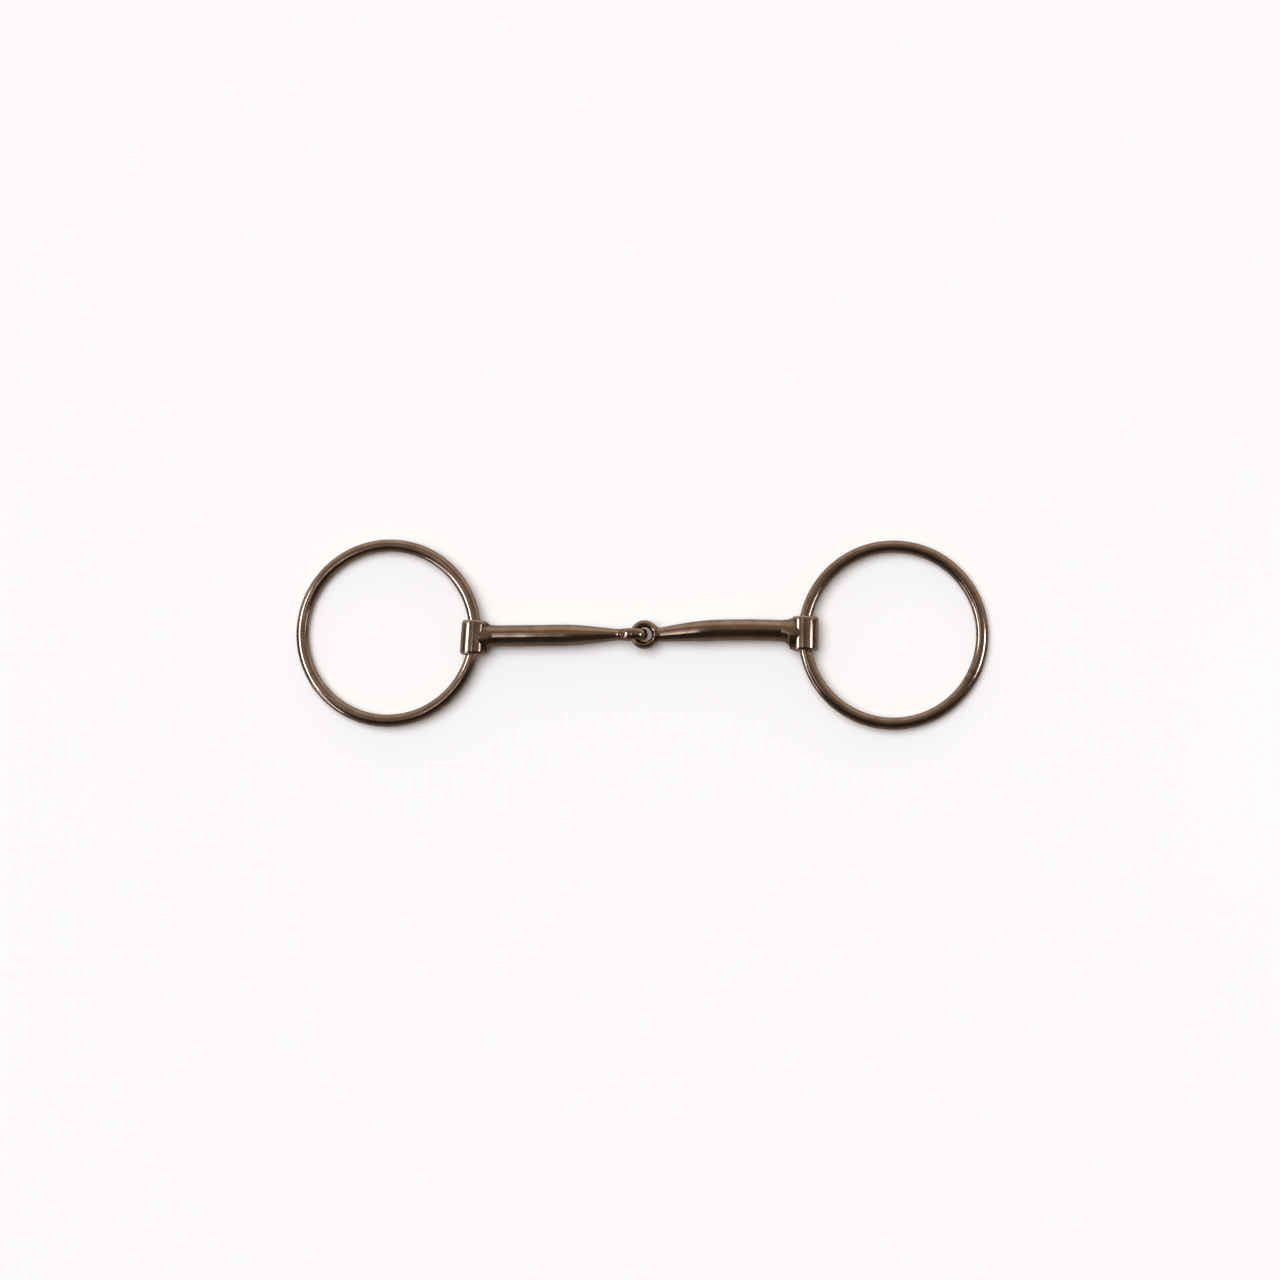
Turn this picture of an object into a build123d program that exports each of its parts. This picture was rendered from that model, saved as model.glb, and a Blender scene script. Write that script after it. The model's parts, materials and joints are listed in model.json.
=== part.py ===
import os
from math import asin, cos, pi, radians, sin, sqrt

from build123d import *

# Loose ring snaffle bit, lying flat and straight on a table.
# X runs along the mouthpiece, Y along the bores that the rings run through, Z up.
# The origin is on the table, under the middle of the bit.

# Rings: round wire bent into a circle and closed.
ring_outer_dia = 76.2
ring_wire_dia = 5.0

# Mouthpiece: two bars of round steel, each from its eye out to its sleeve.
mouth_width = 134.0  # between the axes of the two sleeves
cannon_dia = 8.6
taper_length = 18.0  # from the eye's shank out to the full diameter
sleeve_drop = 0.6  # each sleeve's middle lies this far toward -Y of its cannon

# Sleeves: short tubes across the cannons' ends, one round each ring.
sleeve_length = 13.8
sleeve_wall = 2.15
sleeve_rim_round = 0.9
bore_edge_break = 0.3
ring_play = 0.3  # least room between a ring and its bore

# Eyes: two links bent round and closed, one through the other.
eye_wire_width = 2.9  # across the wire, in the eye's own plane
eye_wire_depth = 4.55  # along the hole
eye_play = 0.625  # least room round each eye's wire in the other's hole
shank_width = 5.6
shank_length = 2.2  # from the middle of the eye's wire out to the cannon
shank_flare = 0.75  # each side, how much wider the shank starts

# Brazing that fills the corner between each cannon and its sleeve.
braze_toe = 0.2  # thickness where it ends on the cannon
braze_inset = 0.4  # how far inside the sleeve's outline it stays

# Each half's own shape: the way it points, the direction of its eye's hole, how far its
# outer end lies toward +Y, how far its middle bows toward +Y, and its sleeve's lean in degrees.
# Its brazing runs level from the sleeve's side out to the land, then hollow along the reach.
halves = {
    "left": {"way": -1, "hole": (0, 1, 0), "rise": -0.6, "bow": 0.0, "lean": 3.5, "land": 0.4, "reach": 2.2},
    "right": {"way": 1, "hole": (0, 0, 1), "rise": 0.8, "bow": 1.4, "lean": -0.7, "land": 0.9, "reach": 3.2},
}

# How many sections the lofts have along each stretch.
taper_sections = 5
plain_sections = 8
braze_sections = 5

# The bore clears the ring's wire and its curve, and half of that curve lies each side of the axis.
ring_mid_radius = (ring_outer_dia - ring_wire_dia) / 2
wire_curve = ring_mid_radius - sqrt(ring_mid_radius**2 - (sleeve_length / 2) ** 2)
bore_dia = ring_wire_dia + wire_curve + 2 * ring_play
sleeve_dia = bore_dia + 2 * sleeve_wall
ring_offset = ring_mid_radius - wire_curve / 2

# Each eye's hole takes the other's wire, and each wire runs through the middle of the other's hole.
eye_mid_dia = eye_wire_depth + 2 * eye_play + eye_wire_width
eye_centre = eye_mid_dia / 4

# The left eye stands on the table, and the rings tip about their bores until they touch it.
axis_height = (eye_mid_dia + eye_wire_width) / 2
ring_tip = asin((axis_height - ring_wire_dia / 2) / (ring_offset + ring_mid_radius))

# A shank starts in the middle of its eye's wire and narrows quickly to its plain width.
shank_start = eye_centre + eye_mid_dia / 2
shank_end = shank_start + shank_length
shank_sections = (
    (shank_start, shank_width + 2 * shank_flare),
    (shank_start + shank_length / 2, shank_width + shank_flare / 3),
    (shank_end, shank_width),
)

# A cannon tapers, then runs plain to inside its sleeve's outline, where it is cut back to the sleeve.
sleeve_centre = mouth_width / 2
taper_end = shank_end + taper_length
cannon_end = sleeve_centre - bore_dia / 4
cannon_stations = [
    *(shank_end + taper_length * step / taper_sections for step in range(taper_sections)),
    *(taper_end + (cannon_end - taper_end) * step / plain_sections for step in range(plain_sections + 1)),
]

# The brazing's hollow face is a quarter of an ellipse, from its toe on the cannon to its crown.
toe_radius = cannon_dia / 2 + braze_toe
crown_height = sleeve_length / 2 - braze_inset
crown_depth = sleeve_dia / 2 - braze_inset


def cannon_rise(half, distance):
    """How far a cannon's centre lies toward +Y, at a distance from the middle of the bit."""
    share = (distance - shank_end) / (sleeve_centre - shank_end)
    return half["rise"] * share + half["bow"] * 4 * share * (1 - share)


def cannon_radii(distance):
    """A cannon's radii in its eye's plane and across it, growing along a slightly full taper."""
    share = min((distance - shank_end) / taper_length, 1)
    growth = share * (3 - share) / 2
    in_plane = shank_width + (cannon_dia - shank_width) * growth
    across = eye_wire_depth + (cannon_dia - eye_wire_depth) * growth
    return in_plane / 2, across / 2


def cross_plane(way, distance, rise, x_direction):
    """A plane square to the mouthpiece that looks outward, at a distance from its middle."""
    origin = (way * distance, rise, axis_height)
    return Plane(origin=origin, x_dir=x_direction, z_dir=(way, 0, 0))


os.makedirs("parts", exist_ok=True)

for side, half in halves.items():
    way = half["way"]
    lean = radians(half["lean"])
    outward = Vector(way * cos(lean), sin(lean), 0)
    bore_direction = Vector(-way * sin(lean), cos(lean), 0)
    sleeve_middle = Vector(way * sleeve_centre, half["rise"] - sleeve_drop, axis_height)
    bore_plane = Plane(origin=sleeve_middle, x_dir=outward, z_dir=bore_direction)

    # Ring: a torus whose wire runs through the bore, tipped about it onto the table.
    ring_outward = outward * cos(ring_tip) - Vector(0, 0, sin(ring_tip))
    ring_up = outward * sin(ring_tip) + Vector(0, 0, cos(ring_tip))
    ring_middle = sleeve_middle + ring_outward * ring_offset
    with BuildPart(Plane(origin=ring_middle, x_dir=ring_outward, z_dir=ring_up)) as ring:
        Torus(ring_mid_radius, ring_wire_dia / 2)
    ring.part.label = f"{side}_ring"
    export_step(ring.part, f"parts/{side}_ring.step")

    # Sleeve: a short tube with rounded rims.
    with BuildPart(bore_plane) as sleeve:
        Cylinder(sleeve_dia / 2, sleeve_length)
        Hole(bore_dia / 2)
        rims = sleeve.edges().filter_by(GeomType.CIRCLE).group_by(SortBy.RADIUS)
        fillet(rims[-1], sleeve_rim_round)
        chamfer(rims[0], bore_edge_break)
    sleeve.part.label = f"{side}_sleeve"
    export_step(sleeve.part, f"parts/{side}_sleeve.step")

    # Eye: its wire turns about the hole, and a short shank blends out of it to the cannon.
    along = Vector(way, 0, 0)
    in_plane = along.cross(Vector(half["hole"]))
    eye_middle = Vector(way * eye_centre, 0, axis_height)
    with BuildPart() as eye:
        for distance, width in shank_sections:
            with BuildSketch(cross_plane(way, distance, 0, in_plane)):
                Ellipse(width / 2, eye_wire_depth / 2)
        loft()
        with BuildSketch(Plane(origin=eye_middle, x_dir=along, z_dir=in_plane)):
            with Locations((eye_mid_dia / 2, 0)):
                Ellipse(eye_wire_width / 2, eye_wire_depth / 2)
        revolve(axis=Axis(eye_middle, half["hole"]))
    eye.part.label = f"{side}_eye"
    export_step(eye.part, f"parts/{side}_eye.step")

    # Cannon: a round bar, drawn down to the eye's shank, its outer end hollowed to seat on the sleeve.
    with BuildPart() as cannon:
        for distance in cannon_stations:
            rise = cannon_rise(half, distance)
            with BuildSketch(cross_plane(way, distance, rise, in_plane)):
                Ellipse(*cannon_radii(distance))
        loft()
        with Locations(bore_plane.location):
            Cylinder(sleeve_dia / 2, 2 * sleeve_length, mode=Mode.SUBTRACT)
    cannon.part.label = f"{side}_cannon"
    export_step(cannon.part, f"parts/{side}_cannon.step")

    # Braze: a collar round the cannon's end, lofted along its hollow face and run on into the sleeve.
    braze_crown = sleeve_centre - sleeve_dia / 2 - half["land"]
    with BuildPart() as braze:
        for step in range(braze_sections + 1):
            turn = pi / 2 * step / braze_sections
            distance = braze_crown - half["reach"] * (1 - sin(turn))
            growth = 1 - cos(turn)
            height = toe_radius + (crown_height - toe_radius) * growth
            depth = toe_radius + (crown_depth - toe_radius) * growth
            rise = cannon_rise(half, distance) * (1 - growth) + sleeve_middle.Y * growth
            with BuildSketch(cross_plane(way, distance, rise, (0, 1, 0))):
                Ellipse(height, depth)
        loft()
        crown = braze.faces().filter_by(GeomType.PLANE).sort_by(SortBy.AREA)[-1]
        extrude(crown, cannon_end - braze_crown)
        with Locations(bore_plane.location):
            Cylinder(sleeve_dia / 2, 2 * sleeve_length, mode=Mode.SUBTRACT)
        add(cannon.part, mode=Mode.SUBTRACT)
    braze.part.label = f"{side}_braze"
    export_step(braze.part, f"parts/{side}_braze.step")
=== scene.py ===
import json
from math import cos, exp, hypot, pi, radians, sin, tan

import bmesh
import bpy
import numpy as np
from mathutils import Matrix, Vector, noise


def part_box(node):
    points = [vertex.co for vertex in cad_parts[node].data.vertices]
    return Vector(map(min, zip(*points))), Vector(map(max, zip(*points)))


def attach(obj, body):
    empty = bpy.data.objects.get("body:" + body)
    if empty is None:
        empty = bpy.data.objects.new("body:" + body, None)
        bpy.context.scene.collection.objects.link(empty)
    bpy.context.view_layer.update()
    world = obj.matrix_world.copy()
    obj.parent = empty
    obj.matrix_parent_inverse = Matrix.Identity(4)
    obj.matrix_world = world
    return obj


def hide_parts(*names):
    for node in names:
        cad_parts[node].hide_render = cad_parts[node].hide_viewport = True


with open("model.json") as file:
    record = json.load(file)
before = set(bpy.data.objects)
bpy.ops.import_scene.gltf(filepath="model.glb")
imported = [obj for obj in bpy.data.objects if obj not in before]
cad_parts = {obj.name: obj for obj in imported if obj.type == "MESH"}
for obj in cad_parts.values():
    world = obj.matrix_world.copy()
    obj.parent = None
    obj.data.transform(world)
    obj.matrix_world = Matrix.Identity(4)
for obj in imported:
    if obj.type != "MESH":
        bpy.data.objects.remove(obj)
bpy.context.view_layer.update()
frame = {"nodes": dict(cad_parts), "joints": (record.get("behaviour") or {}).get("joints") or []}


# Cannons. The two bars of the mouthpiece: round steel, drawn down to a neck toward the joint,
# then ground and buffed by hand, so they are smooth but never quite true. The bit is browned last.
MM = 0.001
WAYS = {"left": -1, "right": 1}
CANNON_RADIUS = 4.3 * MM
NECK_HALF_WIDTH, NECK_HALF_DEPTH = 2.8 * MM, 2.275 * MM  # in the plane of the eye, and across it
TAPER_LENGTH = 18 * MM
WIDTH_FULLNESS, DEPTH_FULLNESS = 0.3, 0.1  # how far the taper bellies out from straight
TAPER_EASE = 0.22  # the share of its length over which it runs out into the round bar
SLEEVE_DROP = 0.6 * MM  # each bar runs to this far toward +Y from its sleeve's middle
BOWS = {"left": 0, "right": 1.4 * MM}  # how far each bar is bent off straight
BEAD_HEIGHTS = {"left": 0.38 * MM, "right": 0}  # the left neck swells where its eye was closed
BEAD_PLACE, BEAD_LENGTH = 8.25 * MM, 0.6 * MM
BUFFING_WAVE, BUFFING_WAVE_LENGTH = 0.045 * MM, 7 * MM
BUFFING_LOSS = 0.3 * BUFFING_WAVE  # buffing takes the bar this far under size
SEAM_LAP, SEAM_COVER = 0.3 * MM, 0.012 * MM  # how the bar laps the eye's neck, and stands over it
BAR_END_SETBACK = 4.2 * MM  # the bar ends in its sleeve's wall, this far from the sleeve's axis
TOE_SETBACK, TOE_STAIN = 9 * MM, 1.6 * MM  # where the brazing heat has stained the bar, and how wide
BAR_STATIONS, BAR_SIDES = 160, 64  # how finely a bar is drawn along and round
SHARP_CORNER = radians(50)  # faces that meet at more than this keep a crisp edge

joints = {joint["name"]: joint for joint in frame["joints"]}
sleeve_middles = {side: Vector(joints[f"{side}_ring_swing"]["pos_m"]) for side in WAYS}


def linear(hex_colour):
    """An sRGB hex colour as linear RGBA."""
    channels = [int(hex_colour[i : i + 2], 16) / 255 for i in (1, 3, 5)]
    return (*(c / 12.92 if c <= 0.04045 else ((c + 0.055) / 1.055) ** 2.4 for c in channels), 1)


def add_node(owner, kind, settings=None, inputs=None):
    """Adds a shader node, with its settings and its inputs' values or the outputs that feed them."""
    node = owner.node_tree.nodes.new("ShaderNode" + kind)
    for name, value in (settings or {}).items():
        setattr(node, name, value)
    for name, value in (inputs or {}).items():
        if isinstance(value, bpy.types.NodeSocket):
            owner.node_tree.links.new(value, node.inputs[name])
        else:
            node.inputs[name].default_value = value
    return node


def browned_steel(name, worn, brown, dark, roughness, stretch=(1, 1, 1), pits=0.0):
    """Steel browned in a hot bath and buffed: a mirror of a warm brown, cloudy where the brown skin is
    uneven, dark where it is thick or where painted shade is laid on, and nearly bare where it has worn,
    with fine buffing lines.
    The lines run along the axes whose stretch is under 1, and the pits are specks of that depth."""
    material = bpy.data.materials.new(name)
    material.use_nodes = True
    material.node_tree.nodes.clear()
    place = add_node(material, "TexCoord").outputs["Object"]
    # The attribute carries the brown skin's real thickness and wear, and painted shade in the sleeve
    # bores and in the braze corners and holes.
    oxide_and_shade = add_node(material, "Attribute", {"attribute_name": "oxide_and_shade"}).outputs["Fac"]

    # Oxide lies in clouds about 6 mm across, with a mottle of 0.7 mm over them.
    clouds = add_node(
        material, "TexNoise", inputs={"Vector": place, "Scale": 1 / (6 * MM), "Detail": 5}
    )
    mottle = add_node(
        material, "TexNoise", inputs={"Vector": place, "Scale": 1 / (0.7 * MM), "Detail": 3}
    )
    patches = add_node(
        material,
        "Mix",
        {"data_type": "FLOAT"},
        {"Factor": 0.3, "A": clouds.outputs[0], "B": mottle.outputs[0]},
    )
    depth = add_node(
        material,
        "Math",
        {"operation": "MULTIPLY_ADD"},
        {0: oxide_and_shade, 1: 0.5, 2: patches.outputs["Result"]},
    )
    tint = add_node(material, "ValToRGB", inputs={"Fac": depth.outputs[0]})
    tint.color_ramp.elements[0].position = 0.2
    tint.color_ramp.elements[0].color = linear(worn)
    tint.color_ramp.elements[1].position = 0.95
    tint.color_ramp.elements[1].color = linear(dark)
    tint.color_ramp.elements.new(0.5).color = linear(brown)

    # Buffing lines are some 20 microns apart, drawn 0.15 mm apart so that they show.
    lines_place = add_node(material, "Mapping", inputs={"Vector": place, "Scale": stretch})
    lines = add_node(
        material,
        "TexNoise",
        inputs={"Vector": lines_place.outputs[0], "Scale": 1 / (0.15 * MM), "Detail": 2},
    )
    # Smears 3 mm across, where hands and leather have dulled the polish.
    smears = add_node(
        material, "TexNoise", inputs={"Vector": place, "Scale": 1 / (3 * MM), "Detail": 4}
    )
    dulling = add_node(
        material,
        "Mix",
        {"data_type": "FLOAT"},
        {"Factor": 0.4, "A": smears.outputs[0], "B": lines.outputs[0]},
    )
    polish = add_node(
        material,
        "MapRange",
        inputs={
            "Value": dulling.outputs["Result"],
            "From Min": 0.35,
            "From Max": 0.7,
            "To Min": roughness,
            "To Max": roughness * 1.7,
        },
    )

    # Specks 0.5 mm apart that the buffing has not reached, and lines 1.5 microns deep.
    specks = add_node(material, "TexVoronoi", inputs={"Vector": place, "Scale": 1 / (0.5 * MM)})
    speck_floor = add_node(
        material,
        "MapRange",
        inputs={
            "Value": specks.outputs["Distance"],
            "From Min": 0,
            "From Max": 0.35,
            "To Min": -pits,
            "To Max": 0,
        },
    )
    relief = add_node(
        material,
        "Math",
        {"operation": "MULTIPLY_ADD"},
        {0: lines.outputs[0], 1: 0.0015 * MM, 2: speck_floor.outputs[0]},
    )
    surface = add_node(
        material, "Bump", inputs={"Strength": 1, "Distance": 1, "Height": relief.outputs[0]}
    )
    shader = add_node(
        material,
        "BsdfPrincipled",
        inputs={
            "Base Color": tint.outputs["Color"],
            "Metallic": 1,
            "Roughness": polish.outputs[0],
            "Normal": surface.outputs[0],
        },
    )
    add_node(material, "OutputMaterial", inputs={"Surface": shader.outputs[0]})
    return material


def finish_mesh(name, mesh, oxide_and_shade):
    """Makes a mesh into a piece with smooth faces and sharp corners. The attribute it adds holds how
    thick the brown skin lies at each point, from -1, worn off, to 1, thick and dark, and painted shade
    in the sleeve bores and the braze corners and holes."""
    shape = bmesh.new()
    shape.from_mesh(mesh)
    bmesh.ops.recalc_face_normals(shape, faces=shape.faces)
    for face in shape.faces:
        face.smooth = True
    shape.to_mesh(mesh)
    shape.free()
    mesh.set_sharp_from_angle(angle=SHARP_CORNER)
    layer = mesh.attributes.new("oxide_and_shade", "FLOAT", "POINT")
    layer.data.foreach_set("value", [oxide_and_shade(vertex.co) for vertex in mesh.vertices])
    piece = bpy.data.objects.new(name, mesh)
    bpy.context.scene.collection.objects.link(piece)
    return piece


def skin(name, loops, closed=False):
    """A mesh whose skin runs from each loop of points to the next, joined up or with flat ends."""
    count = len(loops[0])
    points = [point for loop in loops for point in loop]
    faces = []
    for row in range(len(loops) if closed else len(loops) - 1):
        here, there = row * count, (row + 1) % len(loops) * count
        for k in range(count):
            faces.append((here + k, here + (k + 1) % count, there + (k + 1) % count, there + k))
    if not closed:
        faces.append(tuple(range(count)))
        faces.append(tuple(range(len(points) - count, len(points))))
    mesh = bpy.data.meshes.new(name)
    mesh.from_pydata(points, [], faces)
    return mesh


def bar_line(side, distance):
    """How far a bar's centre lies toward +Y, at a distance from the middle of the bit."""
    start = neck_ends[side]
    end = abs(sleeve_middles[side].x)
    share = max(distance - start, 0) / (end - start)
    rise = sleeve_middles[side].y + SLEEVE_DROP
    return rise * share + BOWS[side] * 4 * share * (1 - share)


def bar_radii(side, distance):
    """A bar's half width in the plane of its eye and half depth across it."""
    share = max(distance - neck_ends[side], 0) / TAPER_LENGTH

    # The share runs up evenly, then eases over to stay at 1 along the round bar.
    rising = min(max(0.5 + (1 - share) / (2 * TAPER_EASE), 0), 1)
    share = 1 - rising + share * rising - TAPER_EASE * rising * (1 - rising)
    wider = share + WIDTH_FULLNESS * share * (1 - share)
    deeper = share + DEPTH_FULLNESS * share * (1 - share)
    bead = BEAD_HEIGHTS[side] * exp(-(((distance - BEAD_PLACE) / BEAD_LENGTH) ** 2))
    half_width = NECK_HALF_WIDTH + (CANNON_RADIUS - NECK_HALF_WIDTH) * wider + bead
    half_depth = NECK_HALF_DEPTH + (CANNON_RADIUS - NECK_HALF_DEPTH) * deeper
    return half_width, half_depth


neck_ends = {}
for side in WAYS:
    low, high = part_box(f"{side}_cannon")
    neck_ends[side] = min(abs(low.x), abs(high.x))

# The bar is the best buffed: lamps show in it as long soft streaks, and its lines run lengthwise.
polished_bar = browned_steel(
    "buffed browned steel bar",
    "#B39D88",
    "#9F8670",
    "#6B5241",
    roughness=0.11,
    stretch=(0.04, 1, 1),
    pits=0.002 * MM,
)
for side, way in WAYS.items():
    bar_end = abs(sleeve_middles[side].x) - BAR_END_SETBACK
    start = neck_ends[side] - SEAM_LAP
    loops = []
    for station in range(BAR_STATIONS + 1):
        distance = start + (bar_end - start) * station / BAR_STATIONS
        half_width, half_depth = bar_radii(side, distance)
        if side == "left":
            half_width, half_depth = half_depth, half_width
        loss = BUFFING_LOSS * (1 - exp(-(distance - start) / MM))
        fade = 1 - exp(-(distance - start) / (2 * MM))
        loop = []
        for k in range(BAR_SIDES):
            y, z = cos(2 * pi * k / BAR_SIDES), sin(2 * pi * k / BAR_SIDES)
            spot = Vector((way * distance / BUFFING_WAVE_LENGTH, y * 1.3, z * 1.3))
            extra = noise.noise(spot) * BUFFING_WAVE * fade + SEAM_COVER - loss
            across = bar_line(side, distance) + y * (half_width + extra)
            height = sleeve_middles[side].z + z * (half_depth + extra)
            loop.append(Vector((way * distance, across, height)))
        loops.append(loop)
    toe = abs(sleeve_middles[side].x) - TOE_SETBACK

    def bar_oxide(point):
        """Darker where the brazing heat reached it."""
        return 0.5 * exp(-abs(abs(point.x) - toe) / TOE_STAIN) - 0.1

    cannon = finish_mesh(f"{side}_bar", skin(f"{side}_bar", loops), bar_oxide)
    cannon.data.materials.append(polished_bar)
    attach(cannon, f"{side}_half")
    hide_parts(f"{side}_cannon")


# Eyes. The end of each bar is drawn thinner, bent round into a link and closed against its neck,
# one link through the other. The left eye stands up and its closing seam shows; the right lies flat.
EYE_RADIUS = 4.35  # to the middle of the wire; this section's shapes are worked out in millimetres
EYE_WIRE_HALF_WIDTH, EYE_WIRE_HALF_DEPTH = 1.45, 2.275
HOLE_RADIUS = EYE_RADIUS - EYE_WIRE_HALF_WIDTH
EYE_CENTRE = EYE_RADIUS / 2  # from the middle of the bit
NECK_START = EYE_RADIUS + 0.3  # from the eye's centre
MEAN_WIRE, MEAN_NECK = 1.8, 2.5  # mean half thicknesses, which bring the formula near millimetres
CORNER_FILLS = {"left": 0.55, "right": 1.5}  # how far the corner between eye and neck is rounded
CLOSING_SEAM = 7.1  # from the middle of the bit, a dark line across the neck
MESH_STEP, SLOPE_STEP, LONGEST_WALK, WALKS = 0.13, 0.001, 0.2, 12


def even_mesh(node):
    """A CAD piece's shape in an even mesh of small squares, in millimetres."""
    plain = frame["nodes"][node].data.copy()
    plain.transform(Matrix.Scale(1 / MM, 4))
    plain.materials.clear()
    block = bpy.data.objects.new("block", plain)
    bpy.context.scene.collection.objects.link(block)
    modifier = block.modifiers.new("even", "REMESH")
    modifier.mode = "VOXEL"
    modifier.voxel_size = MESH_STEP
    evaluated = block.evaluated_get(bpy.context.evaluated_depsgraph_get())
    mesh = bpy.data.meshes.new_from_object(evaluated)
    bpy.data.objects.remove(block)
    return mesh


def eye_surface(points, side, neck_end):
    """Negative inside the eye and positive outside: the bent wire, and the neck filled in to it."""
    along, in_plane, across = points.T
    reach = np.hypot(along, in_plane)
    wire = np.hypot((reach - EYE_RADIUS) / EYE_WIRE_HALF_WIDTH, across / EYE_WIRE_HALF_DEPTH) - 1
    from_bead = ((along + EYE_CENTRE) * MM - BEAD_PLACE) / BEAD_LENGTH
    bead = BEAD_HEIGHTS[side] / MM * np.exp(-(from_bead**2))
    neck = np.hypot(in_plane / (NECK_HALF_WIDTH / MM + bead), across / (NECK_HALF_DEPTH / MM)) - 1
    wire = wire * MEAN_WIRE
    neck = np.maximum(neck * MEAN_NECK, NECK_START - along)

    # The surface follows the nearer of the two, with the corner between them filled in round.
    fill = CORNER_FILLS[side]
    share = np.clip(0.5 + (neck - wire) / (2 * fill), 0, 1)
    joined = neck + (wire - neck) * share - fill * share * (1 - share)
    return np.maximum(joined, along - neck_end)


for side, way in WAYS.items():
    mesh = even_mesh(f"{side}_eye")
    corners = np.empty(len(mesh.vertices) * 3)
    mesh.vertices.foreach_get("co", corners)
    corners = corners.reshape(-1, 3)
    middle = np.array((way * EYE_CENTRE, 0, sleeve_middles[side].z / MM))
    upright_axes = ((way, 0, 0), (0, 0, 1), (0, 1, 0))
    flat_axes = ((way, 0, 0), (0, 1, 0), (0, 0, 1))
    eye_axes = np.array(upright_axes if side == "left" else flat_axes)
    points = (corners - middle) @ eye_axes.T
    neck_end = neck_ends[side] / MM - EYE_CENTRE

    # Each corner of the mesh walks down the slope of the surface's formula until it lies on it.
    for _ in range(WALKS):
        value = eye_surface(points, side, neck_end)
        slope = np.empty_like(points)
        for axis in range(3):
            nudge = np.zeros(3)
            nudge[axis] = SLOPE_STEP
            ahead = eye_surface(points + nudge, side, neck_end)
            behind = eye_surface(points - nudge, side, neck_end)
            slope[:, axis] = (ahead - behind) / (2 * SLOPE_STEP)
        step = value / np.maximum((slope**2).sum(1), 0.05)
        points -= np.clip(step, -LONGEST_WALK, LONGEST_WALK)[:, None] * slope
    corners = (points @ eye_axes + middle) * MM
    mesh.vertices.foreach_set("co", corners.ravel())
    mesh.update()
    eye_centre = Vector(middle) * MM

    def eye_oxide(point):
        """Bare where the other eye rubs in the hole, and dark along the closing seam."""
        away = (point - eye_centre) / MM
        if side == "left":
            away.y, away.z = away.z, away.y
        reach = hypot(away.x, away.y)
        rubbed = exp(-(((reach - HOLE_RADIUS) / 0.5) ** 2) - (away.z / 1.6) ** 2) * (way * away.x < 1)
        seam = exp(-(((way * away.x + EYE_CENTRE - CLOSING_SEAM) / 0.3) ** 2)) * (reach > 4.5)
        return 0.7 * seam + 0.15 - 0.9 * rubbed

    eye = finish_mesh(f"{side}_link_eye", mesh, eye_oxide)
    eye.data.materials.append(polished_bar)
    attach(eye, f"{side}_half")
    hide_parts(f"{side}_eye")


# Sleeves. Each is a length of thick steel tube set across its cannon's end, with the ring run
# through it. Its rims are rounded over and rub bare, and its outside is buffed round the tube.
SLEEVE_HALF_LENGTH = 6.9 * MM
SLEEVE_RADIUS = 5.2875 * MM
BORE_RADIUS = 3.1375 * MM
RIM_DROP, RIM_LENGTH = 0.85 * MM, 1.6 * MM  # the rims are rounded long and low
BORE_EDGE_BREAK = 0.3 * MM
RIM_STEPS, TUBE_SIDES = 10, 144
TUBE_WAVE, TUBE_WAVE_LENGTH, TUBE_LOSS = 0.03 * MM, 5 * MM, 0.015 * MM  # left by the buffing

sleeve_profile = [
    (BORE_RADIUS, -SLEEVE_HALF_LENGTH + BORE_EDGE_BREAK),
    (BORE_RADIUS + BORE_EDGE_BREAK, -SLEEVE_HALF_LENGTH),
]
for end in (-1, 1):
    turns = [pi / 2 * k / RIM_STEPS for k in range(RIM_STEPS + 1)]
    for turn in reversed(turns) if end > 0 else turns:
        rim_radius = SLEEVE_RADIUS - RIM_DROP * (1 - sin(turn))
        rim_height = SLEEVE_HALF_LENGTH - RIM_LENGTH * (1 - cos(turn))
        sleeve_profile.append((rim_radius, end * rim_height))
sleeve_profile += [
    (BORE_RADIUS + BORE_EDGE_BREAK, SLEEVE_HALF_LENGTH),
    (BORE_RADIUS, SLEEVE_HALF_LENGTH - BORE_EDGE_BREAK),
]

# Buffed nearly as well as the bars, so each lamp stands in it as one clean upright strip.
polished_tube = browned_steel(
    "buffed browned steel tube",
    "#B9A38D",
    "#9C836E",
    "#634B3D",
    roughness=0.13,
    stretch=(1, 0.3, 1),
    pits=0.002 * MM,
)
for side, way in WAYS.items():
    middle = sleeve_middles[side]
    bore = Vector(joints[f"{side}_ring_swing"]["axis"]).normalized()
    if bore.y < 0:
        bore.negate()
    sideways = bore.cross(Vector((0, 0, 1)))
    loops = []
    for k in range(TUBE_SIDES):
        turn = 2 * pi * k / TUBE_SIDES
        radial = sideways * cos(turn) + Vector((0, 0, 1)) * sin(turn)
        loop = []
        for radius, height in sleeve_profile:
            spot = radial * 1.5 + bore * height / TUBE_WAVE_LENGTH + Vector((way * 7, 0, 0))
            lowered = TUBE_LOSS + TUBE_WAVE * noise.noise(spot)
            loop.append(middle + radial * (radius - lowered) + bore * height)
        loops.append(loop)

    def sleeve_wear_and_bore_shade(point):
        """Bare on the rims, where they wear, and painted shade down the bore, darkening the inside of
        the tube.
        """
        away = point - middle
        height = abs(away.dot(bore))
        reach = (away - bore * away.dot(bore)).length
        rim = exp(-(((SLEEVE_HALF_LENGTH - height) / (0.7 * MM)) ** 2))
        rubbed = rim * (reach > BORE_RADIUS + 0.1 * MM)
        # Painted shade down the bore; the bare rims are wear.
        return 0.8 * (reach < BORE_RADIUS + 0.05 * MM) - 0.6 * rubbed

    sleeve = finish_mesh(f"{side}_tube", skin(f"{side}_tube", loops, closed=True), sleeve_wear_and_bore_shade)
    sleeve.data.materials.append(polished_tube)
    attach(sleeve, f"{side}_half")
    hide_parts(f"{side}_sleeve")


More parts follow.
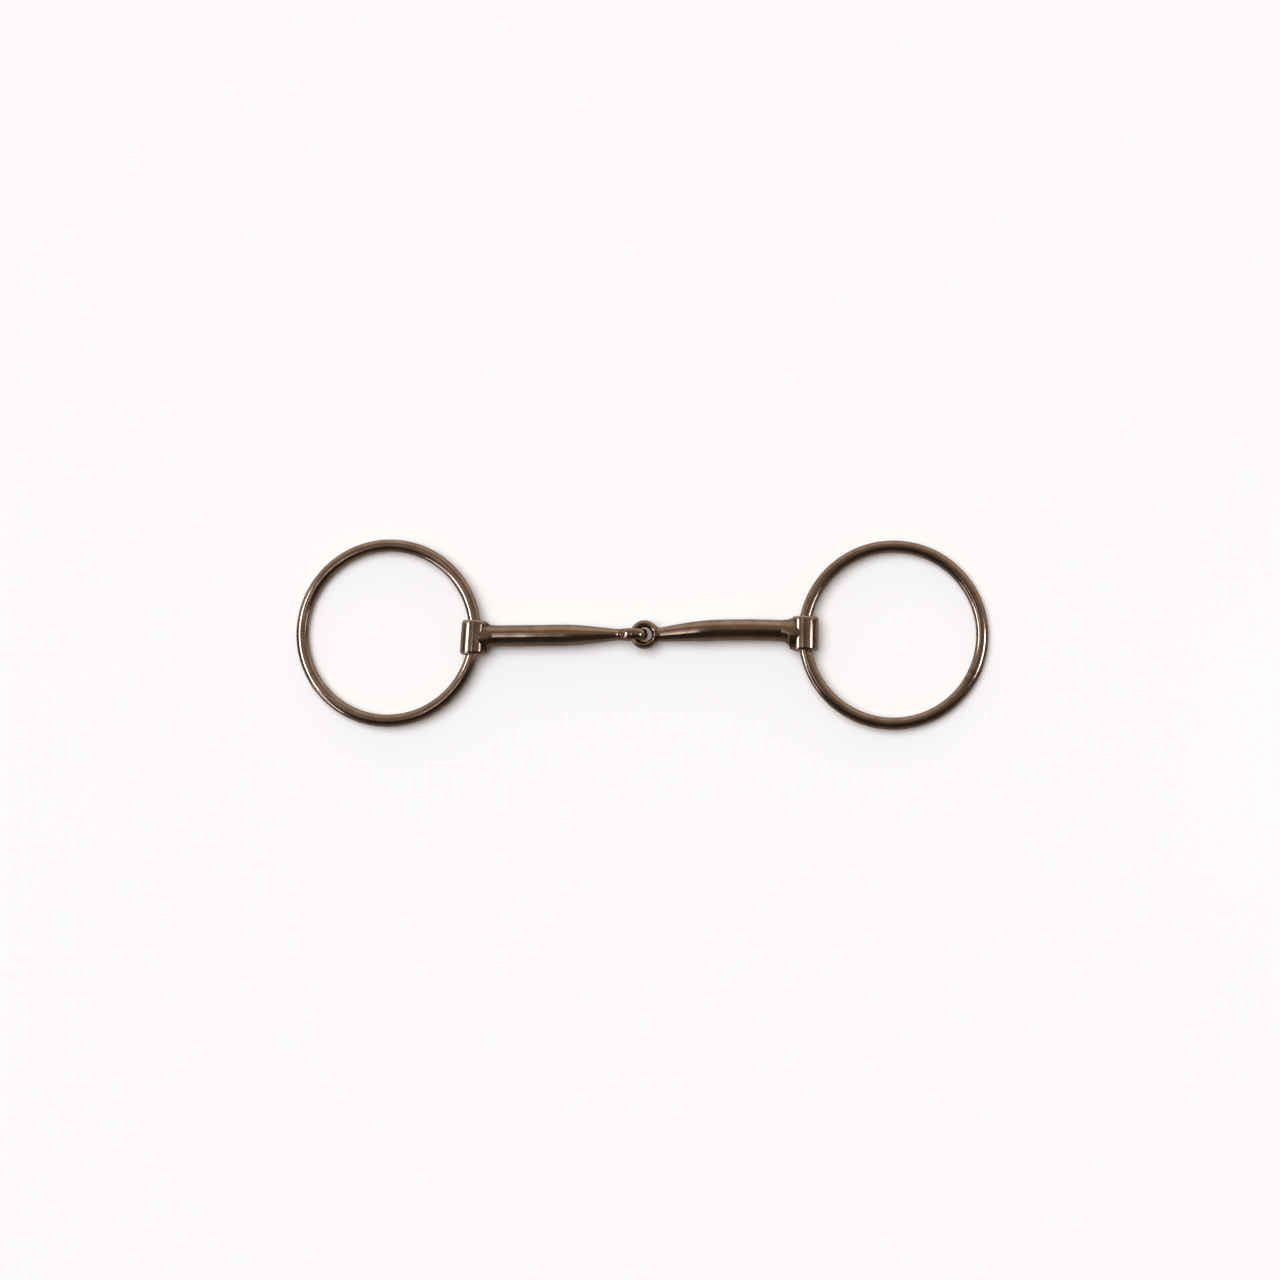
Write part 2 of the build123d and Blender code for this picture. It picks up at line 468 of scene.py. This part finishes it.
# Brazing. The corner between each cannon and its sleeve is filled with bronze, filed to a hollow
# and browned over. The left one was filed less: it is lumpy, with a hole by the sleeve's top end.
FILLS = {
    "left": {"land": 0.4 * MM, "reach": 2.2 * MM, "lump": 0.32 * MM, "lump_size": 2.2 * MM},
    "right": {"land": 0.9 * MM, "reach": 3.2 * MM, "lump": 0.12 * MM, "lump_size": 3 * MM},
}
HOLES = {  # distance from the sleeve's axis, height toward +Y, radius and depth of each hole
    "left": ((5.7 * MM, 4.9 * MM, 0.9 * MM, 1.2 * MM), (6.0 * MM, -4.4 * MM, 0.6 * MM, 0.4 * MM)),
    "right": ((6.2 * MM, 4.3 * MM, 0.6 * MM, 0.9 * MM),),
}
CROWN_HALF_HEIGHT, CROWN_HALF_DEPTH = 6.5 * MM, 4.95 * MM  # where the fill meets the sleeve
TOE_RADIUS = CANNON_RADIUS + 0.05 * MM  # where it runs out on the bar
SEAT_DEPTH = 0.3 * MM
LUMP_DROP = 0.45  # lowers the lumps, so that they are mostly hollows
HOLLOW_ROWS, INNER_ROWS, FILL_SIDES = 32, 16, 96  # over the hollow, in to the axis, and round

# Filed and never buffed bright, so it is duller and darker than the steel and mirrors no clear edge.
dressed_braze = browned_steel(
    "filed and browned bronze braze",
    "#AA937B",
    "#957C65",
    "#574234",
    roughness=0.2,
    pits=0.004 * MM,
)
for side, way in WAYS.items():
    middle = sleeve_middles[side]
    fill = FILLS[side]
    crown = SLEEVE_RADIUS + fill["land"]
    loops = []
    for row in range(HOLLOW_ROWS + INNER_ROWS + 1):
        turn = pi / 2 * min(row / HOLLOW_ROWS, 1)
        inward = crown * max(row - HOLLOW_ROWS, 0) / INNER_ROWS
        offset = crown + fill["reach"] * (1 - sin(turn)) - inward
        growth = 1 - cos(turn)
        toward_toe = offset / (crown + fill["reach"])
        core = TOE_RADIUS + (CROWN_HALF_DEPTH - TOE_RADIUS) * (1 - toward_toe**2)
        flare = (CROWN_HALF_HEIGHT - CROWN_HALF_DEPTH) * growth
        line = bar_line(side, abs(middle.x) - offset) * (1 - growth) + middle.y * growth
        loop = []
        for k in range(FILL_SIDES):
            y, z = cos(2 * pi * k / FILL_SIDES), sin(2 * pi * k / FILL_SIDES)
            radius = core + flare * y**4
            spot = Vector((offset, y * radius, z * radius))
            lump = noise.noise(spot / fill["lump_size"] + Vector((way * 3, 0, 0))) - LUMP_DROP
            spread = lump * fill["lump"] * min(growth * 3, 1) * y * y
            for hole_offset, hole_height, hole_radius, hole_depth in HOLES[side]:
                away = hypot(offset - hole_offset, spot.y - hole_height) / hole_radius
                spread -= hole_depth * exp(-(away**4)) * (z > 0)
            point = Vector((way * -offset, y * (radius + spread), z * (radius + spread)))
            loop.append(Vector((middle.x, line, middle.z)) + point)
        loops.append(loop)
    lump_mesh = skin(f"{side}_fill", loops)

    # Its inner end is cut to sit a little way into the sleeve's wall.
    cutter = bpy.data.objects.new("cutter", bpy.data.meshes.new("cutter"))
    shape = bmesh.new()
    bmesh.ops.create_cone(
        shape,
        cap_ends=True,
        segments=128,
        radius1=SLEEVE_RADIUS - SEAT_DEPTH,
        radius2=SLEEVE_RADIUS - SEAT_DEPTH,
        depth=4 * SLEEVE_HALF_LENGTH,
    )
    shape.to_mesh(cutter.data)
    shape.free()
    bore = Vector(joints[f"{side}_ring_swing"]["axis"]).normalized()
    cutter.matrix_world = Matrix.Translation(middle) @ bore.to_track_quat("Z", "X").to_matrix().to_4x4()
    block = bpy.data.objects.new("block", lump_mesh)
    for helper in (cutter, block):
        bpy.context.scene.collection.objects.link(helper)
    cut = block.modifiers.new("seat", "BOOLEAN")
    cut.operation = "DIFFERENCE"
    cut.solver = "EXACT"
    cut.object = cutter
    bpy.context.view_layer.update()
    evaluated = block.evaluated_get(bpy.context.evaluated_depsgraph_get())
    cut_mesh = bpy.data.meshes.new_from_object(evaluated)
    for helper in (cutter, block):
        bpy.data.objects.remove(helper)

    def braze_painted_shade(point):
        """Painted shade: dark in the corner against the sleeve and in the holes."""
        away = point - middle
        # Painted shade in the corner against the sleeve, then in each hole.
        dark = 0.35 * exp(-max(hypot(away.x, away.z) - SLEEVE_RADIUS, 0) / (0.35 * MM))
        for hole_offset, hole_height, hole_radius, _ in HOLES[side]:
            distance = hypot(abs(away.x) - hole_offset, away.y - hole_height) / hole_radius
            dark += 0.9 * exp(-(distance**2)) * (away.z > 0)
        return dark

    braze = finish_mesh(f"{side}_fill", cut_mesh, braze_painted_shade)
    braze.data.materials.append(dressed_braze)
    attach(braze, f"{side}_half")
    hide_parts(f"{side}_braze")


# Rings. Each is a length of round 5 mm steel wire, bent into a circle through its sleeve, butt
# welded, filed flush and buffed. The weld shows as a slight swelling that has browned darker.
RING_MID_RADIUS = 35.6 * MM
RING_WIRE_RADIUS = 2.5 * MM
WELD_TURNS = {"left": radians(-49), "right": radians(-28)}  # from +X, toward +Y
WELD_SWELL, WELD_HALF_LENGTH, SPATTER_SIZE = 0.07 * MM, 1.3 * MM, 1.1 * MM
HEAT_BAND, HEAT_BAND_WIDTH = 1.8 * MM, 1.1 * MM  # the dark band beside the weld, from its middle
WIRE_WAVE = 0.02 * MM  # the height of the buffing waves, and how far they lie under full size
INNER_REACH = 0.07  # the ring's inside lies this share of its radius within its middle line
RING_STEPS, WIRE_SIDES = 480, 40

# Drawn wire, buffed: as bright as the bar, with its streaks broken up a little by the bend.
drawn_wire = browned_steel(
    "buffed browned steel wire",
    "#B39D88",
    "#A08771",
    "#664D40",
    roughness=0.13,
    pits=0.002 * MM,
)
for side, way in WAYS.items():
    low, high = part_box(f"{side}_ring")
    centre = (low + high) / 2
    outward = (centre - sleeve_middles[side]).normalized()
    bore = Vector(joints[f"{side}_ring_swing"]["axis"]).normalized()
    if bore.y < 0:
        bore.negate()
    upward = outward.cross(bore).normalized()
    if upward.z < 0:
        upward.negate()
    weld = Vector((cos(WELD_TURNS[side]), sin(WELD_TURNS[side]), 0))
    loops = []
    for step in range(RING_STEPS):
        turn = 2 * pi * step / RING_STEPS
        radial = outward * cos(turn) + bore * sin(turn)
        centreline = centre + radial * RING_MID_RADIUS
        from_weld = RING_MID_RADIUS * (radial - weld).length
        loop = []
        for k in range(WIRE_SIDES):
            spoke_turn = 2 * pi * k / WIRE_SIDES
            spoke = radial * cos(spoke_turn) + upward * sin(spoke_turn)
            wave = noise.noise(radial * 5 + spoke * 0.8 + Vector((0, 0, way * 3)))
            spatter = noise.noise(centreline / SPATTER_SIZE + spoke)
            swell = WELD_SWELL * exp(-((from_weld / WELD_HALF_LENGTH) ** 2)) * (0.6 + spatter)
            loop.append(centreline + spoke * (RING_WIRE_RADIUS - WIRE_WAVE * (1 - wave) + swell))
        loops.append(loop)

    def ring_oxide(point):
        """Dark beside the weld, and worn a little on the inside, where the reins and sleeve rub."""
        away = (point - centre) / RING_MID_RADIUS
        from_weld = RING_MID_RADIUS * (away.normalized() - weld).length
        heat = exp(-(((from_weld - HEAT_BAND) / HEAT_BAND_WIDTH) ** 2))
        inner = max(1 - away.length, 0) / INNER_REACH
        return 0.5 * heat - 0.2 * inner

    hoop = skin(f"{side}_ring_wire", loops, closed=True)
    ring = finish_mesh(f"{side}_ring_wire", hoop, ring_oxide)
    ring.data.materials.append(drawn_wire)
    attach(ring, f"{side}_ring_body")
    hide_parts(f"{side}_ring")


# Table. A plain sheet of white paper that runs on out of sight. It is left out of the reflections,
# so that the lower sides of the steel mirror the dim room and stay dark.
TABLE_REACH = 40
table_corners = [(x * TABLE_REACH, y * TABLE_REACH, 0) for x, y in ((-1, -1), (1, -1), (1, 1), (-1, 1))]
table_mesh = bpy.data.meshes.new("table")
table_mesh.from_pydata(table_corners, [], [(0, 1, 2, 3)])
table = bpy.data.objects.new("table", table_mesh)
bpy.context.scene.collection.objects.link(table)

# Matt and very slightly warm, with a fine tooth of fibres: it spreads the light without any shine.
white_paper = bpy.data.materials.new("matt white paper")
white_paper.use_nodes = True
white_paper.node_tree.nodes.clear()
paper_place = add_node(white_paper, "TexCoord").outputs["Object"]
fibres = add_node(
    white_paper,
    "TexNoise",
    inputs={"Vector": paper_place, "Scale": 1 / (0.6 * MM), "Detail": 3},
)
tooth = add_node(
    white_paper,
    "Bump",
    inputs={"Strength": 0.2, "Distance": 0.02 * MM, "Height": fibres.outputs[0]},
)
paper_shader = add_node(
    white_paper,
    "BsdfPrincipled",
    inputs={"Base Color": linear("#EDECEA"), "Roughness": 0.9, "Normal": tooth.outputs[0]},
)
add_node(white_paper, "OutputMaterial", inputs={"Surface": paper_shader.outputs[0]})
table.data.materials.append(white_paper)
table.visible_glossy = False


# Lights. A softbox stands at each end of the bit for the bright lines down its sleeves, with a low
# reflector beside the left one. Two strip lamps hang in line over the left half, with a gap between
# them for the sleeves' middles. These five only show in the steel: a wide soft sky lights the paper.
DAYLIGHT = "#E6EDFF"
SKY_BRIGHTNESS, SKY_SPREAD = 3.05, radians(52)
SKY_DIRECTION = Vector((0.3, -0.25, -1.6))  # it comes down from behind the bit and from its left


def softbox(name, centre, aim, width, height, brightness):
    """A rectangular light that faces a point, its width level and its height upright."""
    centre, aim = Vector(centre), Vector(aim)
    light = bpy.data.lights.new(name, "AREA")
    light.shape = "RECTANGLE"
    light.size, light.size_y = width, height
    light.energy = brightness * width * height * pi
    light.color = linear(DAYLIGHT)[:3]
    lamp = bpy.data.objects.new(name, light)
    lamp.location = centre
    lamp.rotation_mode = "QUATERNION"
    lamp.rotation_quaternion = (aim - centre).to_track_quat("-Z", "Y")
    lamp.visible_camera = False
    lamp.visible_diffuse = False
    bpy.context.scene.collection.objects.link(lamp)
    return lamp


softbox("left softbox", (-0.39, 0, 0.235), (0, 0, 0.15), 0.26, 0.11, 12)
softbox("left reflector", (-0.4, -0.235, 0.11), (0, -0.235, 0.06), 0.21, 0.1, 4)
right_softbox = softbox("right softbox", (0.46, -0.045, 0.225), (0.3, -0.045, 0), 0.17, 0.12, 4.6)
right_softbox.data.spread = radians(72)  # a grid on its front keeps it off the left sleeve
softbox("front strip lamp", (-0.136, -0.062, 0.5), (-0.136, -0.063, 0), 0.056, 0.17, 2.6)
softbox("back strip lamp", (-0.136, 0.135, 0.5), (-0.136, 0.134, 0), 0.056, 0.15, 1.1)
sky_light = bpy.data.lights.new("sky", "SUN")
sky_light.energy = SKY_BRIGHTNESS
sky_light.angle = SKY_SPREAD
sky_light.color = linear("#FBFCFF")[:3]
sky = bpy.data.objects.new("sky", sky_light)
sky.rotation_mode = "QUATERNION"
sky.rotation_quaternion = SKY_DIRECTION.to_track_quat("-Z", "Y")
sky.visible_glossy = False
bpy.context.scene.collection.objects.link(sky)


# Room. Dim and warm, seen only in the steel: dark overhead and in front of the bit, a pale wall
# behind it and half light below. Its stops are angles from straight up, positive toward +Y, each
# with its brightness. The wall's stops run from straight up, 0, to the ends of the bit, 1.
ROOM_STOPS = (
    (-180, 0.28), (-108, 0.27), (-96, 0.25), (-80, 0.11), (-68, 0.06), (-54, 0.05), (-31, 0.045),
    (-16, 0.05), (-4, 0.09), (8, 0.2), (20, 0.3), (45, 0.32), (55, 0.48), (66, 0.85), (82, 0.82),
    (100, 0.75), (125, 0.55), (180, 0.28),
)
WALL_STOPS = ((0, 0.34), (1, 0.015), (0.6, 0.34), (0.9, 0.45), (0.955, 0.4), (0.972, 0.015))


def warm(level):
    """A brightness as the room's warm grey."""
    return level, level * 0.9, level * 0.84, 1


world = bpy.data.worlds.new("dim warm room")
bpy.context.scene.world = world
world.use_nodes = True
world.node_tree.nodes.clear()
direction = add_node(world, "TexCoord").outputs["Generated"]
split = add_node(world, "SeparateXYZ", inputs={"Vector": direction})
angle = add_node(
    world, "Math", {"operation": "ARCTAN2"}, {0: split.outputs["Y"], 1: split.outputs["Z"]}
)
turn = add_node(
    world, "MapRange", inputs={"Value": angle.outputs[0], "From Min": -pi, "From Max": pi}
)
room = add_node(world, "ValToRGB", inputs={"Fac": turn.outputs[0]})
ramp = room.color_ramp
ramp.elements.remove(ramp.elements[1])
for index, (degrees_over, level) in enumerate(ROOM_STOPS):
    share = (degrees_over + 180) / 360
    stop = ramp.elements[0] if index == 0 else ramp.elements.new(share)
    stop.position = share
    stop.color = warm(level)

# The walls past the two ends of the bit show only in line with it. They are pale, and dark at the
# very ends, which sets off the bright strips down the sleeves.
sideways = add_node(world, "Math", {"operation": "ABSOLUTE"}, {0: split.outputs["X"]})
frontward = add_node(world, "Math", {"operation": "ABSOLUTE"}, {0: split.outputs["Y"]})
in_line = add_node(
    world, "MapRange", inputs={"Value": frontward.outputs[0], "From Min": 0.3, "From Max": 0.1}
)
wall = add_node(world, "ValToRGB", inputs={"Fac": sideways.outputs[0]})
for index, (share, level) in enumerate(WALL_STOPS):
    stop = wall.color_ramp.elements[index] if index < 2 else wall.color_ramp.elements.new(share)
    stop.position = share
    stop.color = warm(level)
past_ends = add_node(
    world, "MapRange", inputs={"Value": sideways.outputs[0], "From Min": 0.12, "From Max": 0.3}
)
wall_share = add_node(
    world, "Math", {"operation": "MULTIPLY"}, {0: in_line.outputs[0], 1: past_ends.outputs[0]}
)
seen = add_node(
    world,
    "Mix",
    {"data_type": "RGBA"},
    {"Factor": wall_share.outputs[0], "A": room.outputs["Color"], "B": wall.outputs["Color"]},
)
background = add_node(world, "Background", inputs={"Color": seen.outputs["Result"], "Strength": 1})
add_node(world, "OutputWorld", inputs={"Surface": background.outputs[0]})


# Camera. A long lens above the bit, looking down from a little toward its right end and its front.
# It is turned by a third of a degree, as a hand-levelled camera would be.
FRAME_WIDTH = 0.5158  # how much of the table it takes in
CAMERA_DISTANCE = 1.833
TOWARD_RIGHT, TOWARD_FRONT, ROLL = radians(5.59), radians(4.58), radians(0.355)
AIM = Vector((0.000227, -0.002038, 0.004))  # near the middle of the bit
camera_data = bpy.data.cameras.new("camera")
camera = bpy.data.objects.new("camera", camera_data)
bpy.context.scene.collection.objects.link(camera)
bpy.context.scene.camera = camera
camera_data.sensor_width = 36
camera_data.lens = camera_data.sensor_width * CAMERA_DISTANCE / FRAME_WIDTH
camera_data.clip_start, camera_data.clip_end = 0.1, 20
back = Vector((tan(TOWARD_RIGHT), -tan(TOWARD_FRONT), 1)).normalized()
camera.location = AIM + back * CAMERA_DISTANCE
level_right = Vector((0, 1, 0)).cross(back).normalized()
level_up = back.cross(level_right)
right = level_right * cos(ROLL) + level_up * sin(ROLL)
up = level_up * cos(ROLL) - level_right * sin(ROLL)
camera.rotation_mode = "QUATERNION"
camera.rotation_quaternion = Matrix((right, up, back)).transposed().to_quaternion()

bpy.context.scene.view_settings.view_transform = "Standard"
